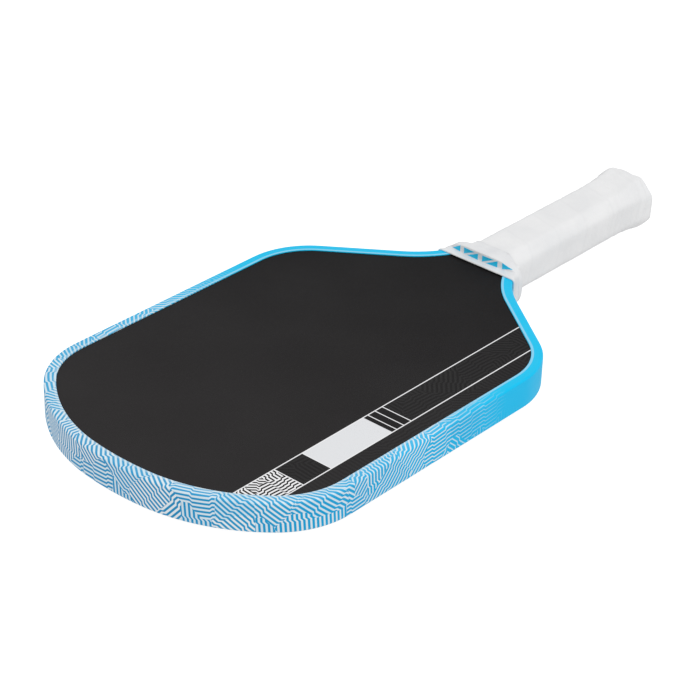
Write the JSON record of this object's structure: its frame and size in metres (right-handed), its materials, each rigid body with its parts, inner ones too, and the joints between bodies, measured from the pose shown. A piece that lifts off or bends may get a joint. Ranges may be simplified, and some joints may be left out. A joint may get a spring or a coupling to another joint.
{
  "type": "pickleball paddle",
  "caption": "Elongated pickleball paddle: black grit face, bright edge guard, short white octagonal grip with a flared butt and a rubber collar at the throat.",
  "frame": {"origin": "centre of the butt end's outermost face, in the middle of the paddle's thickness", "axes": "+Y along the handle towards the tip, +Z out of the front face, +X across the head"},
  "size_m": [0.1906, 0.4191, 0.035],
  "materials": {
    "face_carbon": "matte, fine grit",
    "core_polymer": "matte",
    "foam": "matte, fine cells",
    "bond_tape": "satin",
    "guard_plastic": "satin gloss",
    "pallet_plastic": "matte",
    "cap_plastic": "satin gloss",
    "staple_steel": "plain wire",
    "disc_plastic": "satin gloss",
    "grip_tape": "smooth synthetic leather, satin",
    "collar_rubber": "matte",
    "inlay_plastic": "matte"
  },
  "bodies": {
    "root": {"front_face_sheet": "face_carbon", "back_face_sheet": "face_carbon", "honeycomb_core": "core_polymer", "perimeter_foam": "foam", "edge_tape": "bond_tape", "edge_guard": "guard_plastic", "handle_foam": "foam", "pallet_front": "pallet_plastic", "pallet_back": "pallet_plastic", "butt_cap": "cap_plastic", "butt_cap_staples": "staple_steel", "butt_disc": "disc_plastic", "grip_tape": "grip_tape", "grip_finishing_tape": "bond_tape", "grip_collar": "collar_rubber", "collar_inlays": "inlay_plastic"}
  },
  "joints": []
}
